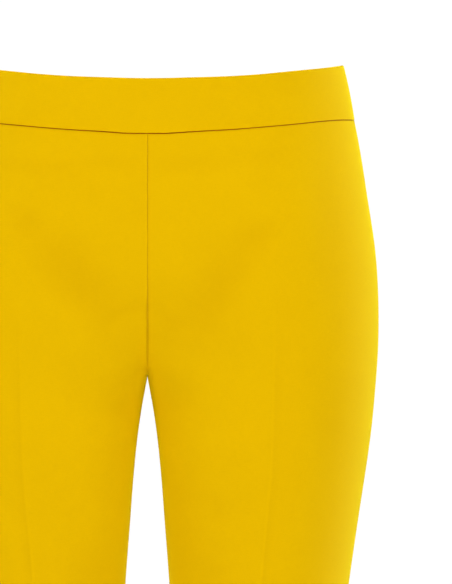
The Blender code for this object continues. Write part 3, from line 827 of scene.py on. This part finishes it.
def band_half(half, side, centre_open):
    """The grid of one half of the waistband, from the side seam to the centre."""
    columns, form = COLUMNS[half], HALVES[half]
    keep = np.arange(columns.count)
    if not centre_open:
        last = int(np.max(np.where(columns.layer[: columns.count] == 0)[0]))
        keep = np.arange(last + 1)
    shares = columns.shares()
    if not centre_open:
        main = (columns.layer == 0)
        start = shares[main][0]
        stretch = (1 - start) / (shares[main][-1] - start)
        shares = np.where(main, start + (shares - start) * stretch, shares)
    layer = columns.layer
    seam, top = band_levels(half, shares, centre_open)
    base = CLOTH / 2 + STEP * layer
    levels, depths, inner_rows = [], [], []
    turn_z = seam + ROLL
    for up in (8.0, 5.5, 3.2, 1.5, 0.6, 0.0):
        levels.append(turn_z + up)
        depths.append(base + STEP)
        inner_rows.append(0.0)
    for angle in bend(6)[::-1]:
        levels.append(turn_z - TURN * math.sin(angle))
        depths.append(base + TURN * (1 - math.cos(angle)))
        inner_rows.append(0.0)
    z_mid = np.full((1, columns.count), 10.0)
    run_mid, length_mid = columns.at(z_mid)[0], columns.length_at(z_mid)[0]
    near_side = 1 - smooth(9.5, 17.0, run_mid)
    near_centre = (1 - smooth(9.5, 17.0, length_mid - run_mid)) if centre_open else 0 * run_mid
    spare = np.maximum(near_side, near_centre)
    inner_top = 1.55 + spare * 1.0 - STEP * layer
    radius = (inner_top - base) / 2
    fold_z = top - CLOTH / 2 - radius
    steps = near_ends_share(np.linspace(0, 1, 30), 0.5)
    for t in steps:
        levels.append(turn_z + t * (fold_z - turn_z))
        depths.append(base)
        inner_rows.append(0.0)
    for angle in bend(8):
        levels.append(fold_z + radius * math.sin(angle))
        depths.append(base + radius * (1 - math.cos(angle)))
        inner_rows.append(0.0)
    low = seam - 2.2
    deep = 3.45 + (0.75 * near_centre if centre_open else 0) - STEP * layer
    for t in near_ends_share(np.linspace(0, 1, 22), 0.3):
        level = fold_z + t * (low - fold_z)
        levels.append(level)
        depths.append(inner_top + (deep - inner_top) * smooth(2.0, 22.0, fold_z - level))
        inner_rows.append(1.0)
    z, depth = np.array(levels), np.array(depths)
    inner = np.array(inner_rows)[:, None] * np.ones_like(z)
    run = columns.at(z)
    length = columns.length_at(z)
    if not centre_open:
        start = run[:, [int(np.argmax(layer == 0))]]
        main = (layer == 0)[None, :]
        last = int(np.max(np.where(layer == 0)[0]))
        run = np.where(main, start + (run - start) * (length - start) / (run[:, [last]] - start), run)
    else:
        pulled = 5.2 * (1 - smooth(0, 14, length - run)) * inner * smooth(1.0, 7.0, fold_z - z)
        run = run - pulled
    points, normal = form.read(z, run)
    share = np.clip((z - seam) / (top - seam), 0, 1)
    out = 0.22 + 0.55 * np.sin(np.pi * np.clip(share, 0, 1)) ** 0.8
    hollow = 0.30 * np.exp(-(((share - 0.62) / 0.2) ** 2))
    middle = smooth(16, 50, run) * (smooth(8, 30, length - run) if centre_open else 1)
    out = out - hollow * middle
    x = points[..., 0]
    for across, along, phase, height in WAVES:
        out = out + 0.9 * height * middle * np.sin(2 * np.pi * (across * x * side * 1.3 + along * z) * MM + phase)
    out = out * (1 - inner * 0.6)
    mid = points + normal * (out - depth)[..., None]
    if not centre_open:
        mid[:, last, 0] = 0.0
    mid[..., 0] *= side
    outward = normal * np.array([side, 1, 1])
    u = run - length
    u = np.where((layer > 0) & (columns.edge == "side"), -length - columns.turned + ROLL, u)
    u = np.where((layer > 0) & (columns.edge == "centre"), columns.turned - ROLL, u)
    v = np.concatenate([[np.zeros(columns.count)], np.cumsum(np.linalg.norm(np.diff(mid, axis=0), axis=2), axis=0)])
    cloth = np.stack([-u * side, v, np.full_like(u, 1000.0 if half == "front" else 1500.0)], axis=2)
    # painted shade down in the waist seam, in the bends of the band's turned lower edge
    painted_light_and_shade = -0.75 * smooth(0.04, 0.30, STEP * layer) * (layer < 0.99) + 0 * z
    painted_light_and_shade = np.minimum(painted_light_and_shade, -1.6 * smooth(0.0, 0.14, depth - base) * (1 - inner) * (z < turn_z))
    return mid[:, keep], outward[:, keep], cloth[:, keep], painted_light_and_shade[:, keep]


def waistband(made):
    parts = [band_half("front", side, False) for side in (1, -1)]
    whole = [np.concatenate([a, b[:, ::-1][:, 1:]], axis=1) for a, b in zip(*parts)]
    front = shell("waistband_front_cloth", whole[0], whole[1], CLOTH, whole[2], whole[3], made)
    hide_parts("waistband_front")
    found = [front]
    for side, word in ((1, "left"), (-1, "right")):
        mid, outward, cloth, painted_light_and_shade = band_half("back", side, True)
        obj = shell("waistband_back_" + word + "_cloth", mid, outward, CLOTH, cloth, painted_light_and_shade, made)
        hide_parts("waistband_back_" + word)
        found.append(obj)
    return found


# ---- The concealed zip ----


def back_surface(x, z):
    """Points and normals of the back's outer surface near the centre, at x of either sign."""
    form = HALVES["back"]
    x, z = np.broadcast_arrays(np.asarray(x, float), np.asarray(z, float))
    length = np.interp(z, form.z, form.length)
    run = length - np.abs(x)
    points, normal = form.read(z.copy(), run)
    points = points.copy()
    points[..., 0] = x
    normal = normal.copy()
    normal[..., 0] *= np.where(x < 0, -1, 1) * smooth(0, 6, np.abs(x))
    return points, normal / np.linalg.norm(normal, axis=-1, keepdims=True)


def tape_depth(z):
    return 2.55 + 0.65 * smooth(-14, 0, z)


def zip_tapes(made):
    """Two woven tapes, one behind each back edge, as one piece of two thin sheets."""
    found = []
    for side in (1, -1):
        across = np.array([0.9, 1.2, 1.6, 2.4, 4.0, 6.0, 8.0, 10.0, 11.4, 12.1, 12.5])
        down = np.linspace(27.5, ZIP_END_Z - 6, 90)
        z, x = np.meshgrid(down, across * side, indexing="ij")
        points, normal = back_surface(x, z)
        lift = 0.16 * np.exp(-(((np.abs(x) - 1.2) / 0.7) ** 2))
        mid = points - normal * (tape_depth(z) - lift)[..., None]
        cloth = np.stack([x, z, np.full_like(x, 2000.0)], axis=2)
        obj = shell("tape_%d" % side, mid, normal, 0.45, cloth, 0 * x, made)
        found.append(obj)
    tapes = join("zip_tapes", found)
    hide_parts("zip_tape")
    return tapes


def join(name, objects):
    """Several meshes of one body as one piece."""
    bpy.ops.object.select_all(action="DESELECT")
    for obj in objects:
        obj.select_set(True)
    bpy.context.view_layer.objects.active = objects[0]
    if len(objects) > 1:
        bpy.ops.object.join()
    obj = bpy.context.view_layer.objects.active
    obj.name = name
    obj.data.name = name
    obj.select_set(False)
    return obj


def tube_mesh(name, paths, radius, sides, made, body="trousers", ends=True):
    """Round threads along many short paths (mm), as one mesh."""
    points, faces = [], []
    ring = np.linspace(0, 2 * np.pi, sides, endpoint=False)
    for path in paths:
        path = np.asarray(path, float)
        ahead = np.gradient(path, axis=0)
        ahead /= np.linalg.norm(ahead, axis=1, keepdims=True)
        up = np.array([0.0, 0.0, 1.0]) if abs(ahead[0, 2]) < 0.9 else np.array([1.0, 0.0, 0.0])
        first = len(points)
        for p, a in zip(path, ahead):
            u = np.cross(a, up)
            u /= np.linalg.norm(u)
            w = np.cross(a, u)
            up = -w if np.dot(-w, up) > 0 else w
            for angle in ring:
                points.append(p + radius * (math.cos(angle) * u + math.sin(angle) * np.cross(a, u)))
        count = len(path)
        for i in range(count - 1):
            for j in range(sides):
                k = (j + 1) % sides
                a, b = first + i * sides, first + (i + 1) * sides
                faces.append((a + j, a + k, b + k, b + j))
        if ends:
            for row, flip in ((0, True), (count - 1, False)):
                base = first + row * sides
                cap = [base + j for j in range(sides)]
                faces.append(tuple(cap[::-1] if flip else cap))
    mesh = bpy.data.meshes.new(name)
    mesh.from_pydata([tuple(np.asarray(p) * MM) for p in points], [], faces)
    work = bmesh.new()
    work.from_mesh(mesh)
    bmesh.ops.recalc_face_normals(work, faces=work.faces)
    work.to_mesh(mesh)
    work.free()
    mesh.shade_smooth()
    return piece(name, mesh, made, body)


def zip_coil(made):
    """The closed coil behind the slit: its loops lock from either side in turn."""
    paths = []
    pitch = 1.15
    z = 18.0
    n = 0
    while z > ZIP_END_Z + 2:
        side = 1 if n % 2 == 0 else -1
        p, normal = back_surface(np.array([0.0]), np.array([z]))
        p, normal = p[0], normal[0]
        deep = float(tape_depth(np.array(z)))
        loop = []
        for t in np.linspace(0, 1, 7):
            angle = math.pi * (t * 1.0)
            x = side * (1.75 - 2.35 * math.sin(angle))
            loop.append(p + np.array([x, 0, 0.12 * side]) - normal * (deep + 0.30 + 0.75 * 0.5 * (1 - math.cos(angle))))
        paths.append(loop)
        z -= pitch / 2
        n += 1
    coil = tube_mesh("zip_coil", paths, 0.2, 5, made)
    return coil


# ---- Threads ----


def seam_threads(name, half, side, place, start, stop, made, pitch=2.6):
    """The lockstitches seen down in a seam's groove, as short threads across it."""
    columns, form = COLUMNS[half], HALVES[half]
    paths = []
    z = start
    while z > stop:
        for shift in (0.0,):
            level = np.array([z, z - 1.5])
            length = columns.length_at(level)
            run = length * 0 + 0.0 if place == "side" else length
            points, normal = form.read(level, run)
            line = points - normal * 0.56
            line[:, 0] *= side
            paths.append([line[0], line[0] * 0.5 + line[1] * 0.5 + normal[0] * 0.06 * np.array([side, 1, 1]), line[1]])
        z -= pitch
    obj = tube_mesh(name, paths, 0.11, 5, made)
    return obj


def waist_threads(made):
    paths = []
    for half, side in (("front", 1), ("front", -1), ("back", 1), ("back", -1)):
        form = HALVES[half]
        columns = COLUMNS[half]
        length = float(columns.length_at(np.array([-8.0]))[0])
        run = 2.0
        while run < length - 2.0:
            ends = np.array([run, run + 1.5])
            level = at(EDGES[half + "_seam"], ends / length)
            points, normal = form.read(level, ends * columns.length_at(level) / length)
            line = points - normal * 0.70
            line[:, 0] *= side
            paths.append([line[0], (line[0] + line[1]) / 2 + normal[0] * 0.05 * np.array([side, 1, 1]), line[1]])
            run += 2.6
    obj = tube_mesh("waist_seam_threads", paths, 0.11, 5, made)
    return obj


def hem_threads(half, side, made):
    """Blind stitches: from the turned-up edge into the back of the cloth, and a prick outside."""
    columns, form = COLUMNS[half], HALVES[half]
    paths = []
    length = float(columns.length_at(np.array([-867.0]))[0])
    run, n = 12.0, 0
    top = HEM_Z + HEM_TURN
    while run < length - 12.0:
        level = np.array([top - 3.2, top - 0.4, top + 1.4, top - 0.4, top - 3.2])
        ends = np.array([run, run + 1.3, run + 2.6, run + 3.9, run + 5.2])
        points, normal = form.read(level, ends)
        deep = np.array([1.9, 1.9, 0.75, 1.9, 1.9])
        line = points - normal * deep[:, None]
        line[:, 0] *= side
        paths.append(line)
        run += 6.4
        n += 1
    word = "left" if side > 0 else "right"
    obj = tube_mesh("hem_threads_" + half + "_" + word, paths, 0.12, 5, made)
    return obj


# ---- Materials ----


class Nodes:
    """A material's node tree, with short calls to add and link its nodes."""

    def __init__(self, name):
        self.material = bpy.data.materials.new(name)
        self.material.use_nodes = True
        self.tree = self.material.node_tree
        self.shader = self.tree.nodes["Principled BSDF"]

    def add(self, kind, inputs=(), **settings):
        node = self.tree.nodes.new(kind)
        for key, value in settings.items():
            setattr(node, key, value)
        for key, value in dict(inputs).items():
            if isinstance(value, bpy.types.NodeSocket):
                self.tree.links.new(value, node.inputs[key])
            else:
                node.inputs[key].default_value = value
        return node

    def math(self, operation, *values, clamp=False):
        node = self.add("ShaderNodeMath", dict(enumerate(values)), operation=operation)
        node.use_clamp = clamp
        return node.outputs[0]

    def mix(self, share, a, b, blend="MIX"):
        node = self.tree.nodes.new("ShaderNodeMix")
        node.data_type = "RGBA"
        node.blend_type = blend
        for key, value in ((0, share), (6, a), (7, b)):
            if isinstance(value, bpy.types.NodeSocket):
                self.tree.links.new(value, node.inputs[key])
            else:
                node.inputs[key].default_value = value
        return node.outputs[2]

    def remap(self, value, low, high, to_low, to_high):
        node = self.add(
            "ShaderNodeMapRange",
            {"Value": value, "From Min": low, "From Max": high, "To Min": to_low, "To Max": to_high},
        )
        return node.outputs[0]

    def out(self, name, value):
        if isinstance(value, bpy.types.NodeSocket):
            self.tree.links.new(value, self.shader.inputs[name])
        else:
            self.shader.inputs[name].default_value = value


def cloth_material(name, base, seed):
    """Stretch crepe: a fine crossed weave of matte threads and slow unevenness of the dye, with painted shade and
    painted highlights read from the mesh: darker down in the seams and in the folds' troughs, lighter along the
    creases."""
    n = Nodes(name)
    where = n.add("ShaderNodeAttribute", attribute_name="cloth").outputs["Vector"]
    painted_light_and_shade = n.add("ShaderNodeAttribute", attribute_name="painted_light_and_shade").outputs["Fac"]
    inside = n.add("ShaderNodeAttribute", attribute_name="wrong_side").outputs["Fac"]

    def noise(scale, detail, rough, stretch=(1, 1, 1), offset=0.0):
        mapped = n.add("ShaderNodeMapping", {"Vector": where, "Scale": stretch, "Location": (seed, offset, 0)})
        return n.add(
            "ShaderNodeTexNoise",
            {"Vector": mapped.outputs[0], "Scale": scale, "Detail": detail, "Roughness": rough},
        ).outputs["Fac"]

    def wave(scale, axis, turn=0.0):
        mapped = n.add("ShaderNodeMapping", {"Vector": where, "Rotation": (0, 0, turn)})
        return n.add(
            "ShaderNodeTexWave",
            {"Vector": mapped.outputs[0], "Scale": scale, "Distortion": 1.6, "Detail": 2.0, "Detail Scale": 3.0},
            bands_direction=axis,
            wave_profile="SIN",
        ).outputs["Fac"]

    slow = noise(9.0, 3.0, 0.5)
    cloudy = noise(34.0, 3.0, 0.55, offset=3.0)
    weft = noise(1.0, 2.0, 0.6, stretch=(240, 1500, 1), offset=7.0)
    warp = noise(1.0, 2.0, 0.6, stretch=(1500, 200, 1), offset=11.0)
    grain = noise(1500.0, 2.0, 0.6, offset=5.0)
    dark = tuple(c * k for c, k in zip(base, (0.988, 0.984, 1))) + (1,)
    light = tuple(c * k for c, k in zip(base, (1.008, 1.012, 1))) + (1,)
    value = n.math("ADD", n.math("MULTIPLY", slow, 0.5), n.math("MULTIPLY", cloudy, 0.5))
    colour = n.mix(n.remap(value, 0.35, 0.65, 0, 1), dark, light)
    threads = n.math("ADD", n.math("MULTIPLY", weft, 0.6), n.math("MULTIPLY", warp, 0.4))
    threads = n.math("ADD", n.math("MULTIPLY", threads, 0.75), n.math("MULTIPLY", grain, 0.25))
    shade = n.remap(threads, 0.3, 0.7, 0.965, 1.035)
    scaled = n.add("ShaderNodeVectorMath", {0: colour}, operation="SCALE")
    n.tree.links.new(shade, scaled.inputs["Scale"])
    # the colour of the painted shade, which negative values mix toward
    seam = (base[0] * 0.36, base[1] * 0.01, base[2], 1)
    # groove: how far the colour goes toward the painted shade's colour
    groove = n.math("MULTIPLY", n.math("MAXIMUM", n.math("MULTIPLY", painted_light_and_shade, -1.0), 0.0), 0.85, clamp=True)
    tinted = n.mix(groove, scaled.outputs[0], seam)
    # painted highlight: positive values mix the colour toward a lighter yellow
    pressed = n.math("MULTIPLY", n.math("MAXIMUM", painted_light_and_shade, 0.0), 0.5, clamp=True)
    tinted = n.mix(pressed, tinted, tuple(min(c * k, 1.0) for c, k in zip(base, (1.06, 1.09, 1))) + (1,))
    wrong = n.mix(n.math("MULTIPLY", inside, 0.5), tinted, tuple(c * k for c, k in zip(base, (0.93, 0.9, 1))) + (1,))
    n.out("Base Color", wrong)
    n.out("Roughness", n.remap(threads, 0.3, 0.7, 0.86, 0.97))
    n.out("Diffuse Roughness", 0.55)
    n.out("Specular IOR Level", 0.10)
    n.out("Specular Tint", (1.0, 0.86, 0.10, 1))
    n.out("Sheen Weight", 0.5)
    n.out("Sheen Roughness", 0.42)
    n.out("Sheen Tint", (1.0, 0.97, 0.0, 1))
    # the weave: 0.42 mm threads crossing, with a twill's diagonal
    fine = n.math("ADD", n.math("MULTIPLY", wave(380.0, "X"), 0.5), n.math("MULTIPLY", wave(430.0, "Y"), 0.5))
    twill = wave(330.0, "X", math.radians(58))
    height = n.math("ADD", n.math("MULTIPLY", fine, 0.5), n.math("MULTIPLY", twill, 0.5))
    height = n.math("ADD", n.math("MULTIPLY", height, 0.6), n.math("MULTIPLY", grain, 0.4))
    bump = n.add("ShaderNodeBump", {"Height": height, "Strength": 0.35, "Distance": 0.00008})
    crepe = n.add(
        "ShaderNodeBump",
        {"Height": cloudy, "Strength": 0.04, "Distance": 0.0012, "Normal": bump.outputs[0]},
    )
    n.out("Normal", crepe.outputs[0])
    n.material.diffuse_color = (*base, 1)
    return n.material


def tape_material(base):
    n = Nodes("zip_tape_woven")
    where = n.add("ShaderNodeAttribute", attribute_name="cloth").outputs["Vector"]
    rib = n.add(
        "ShaderNodeTexWave", {"Vector": where, "Scale": 260.0, "Distortion": 0.5}, bands_direction="Y"
    ).outputs["Fac"]
    mott = n.add("ShaderNodeTexNoise", {"Vector": where, "Scale": 700.0, "Detail": 2.0}).outputs["Fac"]
    share = n.math("ADD", n.math("MULTIPLY", rib, 0.6), n.math("MULTIPLY", mott, 0.4))
    n.out("Base Color", n.mix(share, tuple(c * 0.86 for c in base) + (1,), (*base, 1)))
    n.out("Roughness", n.remap(mott, 0.3, 0.7, 0.62, 0.8))
    n.out("Specular IOR Level", 0.2)
    bump = n.add("ShaderNodeBump", {"Height": rib, "Strength": 0.6, "Distance": 0.0001})
    n.out("Normal", bump.outputs[0])
    n.material.diffuse_color = (*base, 1)
    return n.material


def thread_material(name, base, roughness=0.7):
    n = Nodes(name)
    twist = n.add("ShaderNodeTexCoord").outputs["Object"]
    strand = n.add("ShaderNodeTexNoise", {"Vector": twist, "Scale": 2600.0, "Detail": 2.0}).outputs["Fac"]
    n.out("Base Color", n.mix(strand, tuple(c * 0.8 for c in base) + (1,), (*base, 1)))
    n.out("Roughness", n.remap(strand, 0.3, 0.7, roughness - 0.08, roughness + 0.08))
    bump = n.add("ShaderNodeBump", {"Height": strand, "Strength": 0.4, "Distance": 0.00005})
    n.out("Normal", bump.outputs[0])
    n.material.diffuse_color = (*base, 1)
    return n.material


def enamel_material(base):
    """Satin enamel on metal, dyed to match, rubbed a little in scattered spots."""
    n = Nodes("zip_enamel")
    place = n.add("ShaderNodeTexCoord").outputs["Object"]
    spots = n.add("ShaderNodeTexNoise", {"Vector": place, "Scale": 420.0, "Detail": 4.0}).outputs["Fac"]
    worn = n.remap(spots, 0.58, 0.78, 0.0, 0.55)
    n.out("Base Color", n.mix(worn, (*base, 1), tuple(c * 0.7 for c in base) + (1,)))
    n.out("Roughness", n.remap(spots, 0.3, 0.7, 0.30, 0.42))
    n.out("Metallic", 0.25)
    bump = n.add("ShaderNodeBump", {"Height": spots, "Strength": 0.15, "Distance": 0.0001})
    n.out("Normal", bump.outputs[0])
    n.material.diffuse_color = (*base, 1)
    return n.material


# ---- Everything put together ----

YELLOW = (0.84, 0.528, 0.0004)

cloth_left = cloth_material("cloth_left", YELLOW, 0.0)
cloth_right = cloth_material("cloth_right", YELLOW, 4.0)
cloth_band = cloth_material("cloth_band", YELLOW, 9.0)
tape = tape_material((0.76, 0.44, 0.004))
thread = thread_material("thread", (0.74, 0.42, 0.001))
enamel = enamel_material((0.70, 0.42, 0.004))

for side, word, made in ((1, "left", cloth_left), (-1, "right", cloth_right)):
    for half in ("front", "back"):
        leg(half, side, made)
bands = waistband(cloth_band)
tapes = zip_tapes(tape)
coil = zip_coil(thread_material("coil_nylon", (0.72, 0.42, 0.002), 0.5))

threads = [
    seam_threads("centre_front_threads", "front", 1, "centre", -24.0, CROTCH_Z + 4, thread),
    seam_threads("centre_back_threads", "back", 1, "centre", ZIP_END_Z - 2, CROTCH_Z + 4, thread),
    waist_threads(thread),
]
for side, word in ((1, "left"), (-1, "right")):
    threads.append(seam_threads("side_seam_threads_" + word, "front", side, "side", -8.0, HEM_Z + 3, thread))
    threads.append(seam_threads("inseam_threads_" + word, "front", side, "centre", CROTCH_Z - 3, HEM_Z + 3, thread))
    for half in ("front", "back"):
        threads.append(hem_threads(half, side, thread))

for name in ("zip_slider", "zip_pull"):
    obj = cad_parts[name]
    obj.data.materials.clear()
    obj.data.materials.append(enamel)

# ---- The studio ----

floor_mesh = bpy.data.meshes.new("floor")
work = bmesh.new()
bmesh.ops.create_grid(work, x_segments=1, y_segments=1, size=2.2)
work.to_mesh(floor_mesh)
work.free()
floor = bpy.data.objects.new("floor", floor_mesh)
floor.location = (0, 0, -0.985)
bpy.context.scene.collection.objects.link(floor)
floor_nodes = Nodes("floor_paper")
paper = floor_nodes.add("ShaderNodeTexNoise", {"Scale": 3.0, "Detail": 3.0}).outputs["Fac"]
floor_nodes.out("Base Color", floor_nodes.mix(paper, (0.80, 0.80, 0.79, 1), (0.84, 0.84, 0.83, 1)))
floor_nodes.out("Roughness", 0.9)
floor_mesh.materials.append(floor_nodes.material)


def lamp(name, place, target, width, height, power, spread=180):
    data = bpy.data.lights.new(name, "AREA")
    data.shape = "RECTANGLE"
    data.size, data.size_y = width, height
    data.energy = power
    data.spread = math.radians(spread)
    obj = bpy.data.objects.new(name, data)
    obj.location = place
    obj.rotation_euler = (Vector(target) - Vector(place)).to_track_quat("-Z", "Y").to_euler()
    obj.visible_camera = False
    bpy.context.scene.collection.objects.link(obj)
    return obj


aim = (0, 0, -0.25)
lamp("high", (0.0, -1.6, 2.4), aim, 1.8, 1.4, 38)
lamp("front", (0.0, -2.6, 0.28), (0, 0, -0.13), 0.7, 0.7, 3.85, spread=75)
lamp("rear_high", (0.0, 1.6, 2.4), aim, 1.8, 1.4, 30)
for side, word in ((-1, "right"), (1, "left")):
    lamp(word + "_quarter", (2.0 * side, -2.2, 0.3), aim, 0.9, 1.8, 13)
    lamp(word + "_strip", (1.5 * side, 0.75, -0.2), aim, 0.6, 2.2, 19)

world = bpy.data.worlds.new("studio")
bpy.context.scene.world = world
world.use_nodes = True
sky = world.node_tree
background = sky.nodes["Background"]
coming_from = sky.nodes.new("ShaderNodeTexCoord")
parts = sky.nodes.new("ShaderNodeSeparateXYZ")
behind = sky.nodes.new("ShaderNodeMapRange")  # a bright backdrop behind, little in front
for key, value in (("From Min", -0.25), ("From Max", 0.25), ("To Min", 0.05), ("To Max", 0.55)):
    behind.inputs[key].default_value = value
sky.links.new(coming_from.outputs["Generated"], parts.inputs[0])
sky.links.new(parts.outputs[1], behind.inputs["Value"])
sky.links.new(behind.outputs[0], background.inputs["Strength"])
seen = sky.nodes.new("ShaderNodeBackground")
seen.inputs["Strength"].default_value = 1.02
path = sky.nodes.new("ShaderNodeLightPath")
choose = sky.nodes.new("ShaderNodeMixShader")
for shader in (background, seen):
    shader.inputs["Color"].default_value = (1, 1, 1, 1)
sky.links.new(path.outputs["Is Camera Ray"], choose.inputs[0])
sky.links.new(background.outputs[0], choose.inputs[1])
sky.links.new(seen.outputs[0], choose.inputs[2])
sky.links.new(choose.outputs[0], sky.nodes["World Output"].inputs["Surface"])
bpy.context.scene.view_settings.view_transform = "Standard"

lens = bpy.data.cameras.new("camera")
lens.lens = 158.34
lens.sensor_width = 36
lens.clip_start, lens.clip_end = 0.05, 60
camera = bpy.data.objects.new("camera", lens)
camera.location = (0, -2.0, -0.1367)
camera.rotation_euler = (math.pi / 2, 0, -math.atan2(0.0612, 2.0))
bpy.context.scene.collection.objects.link(camera)
bpy.context.scene.camera = camera
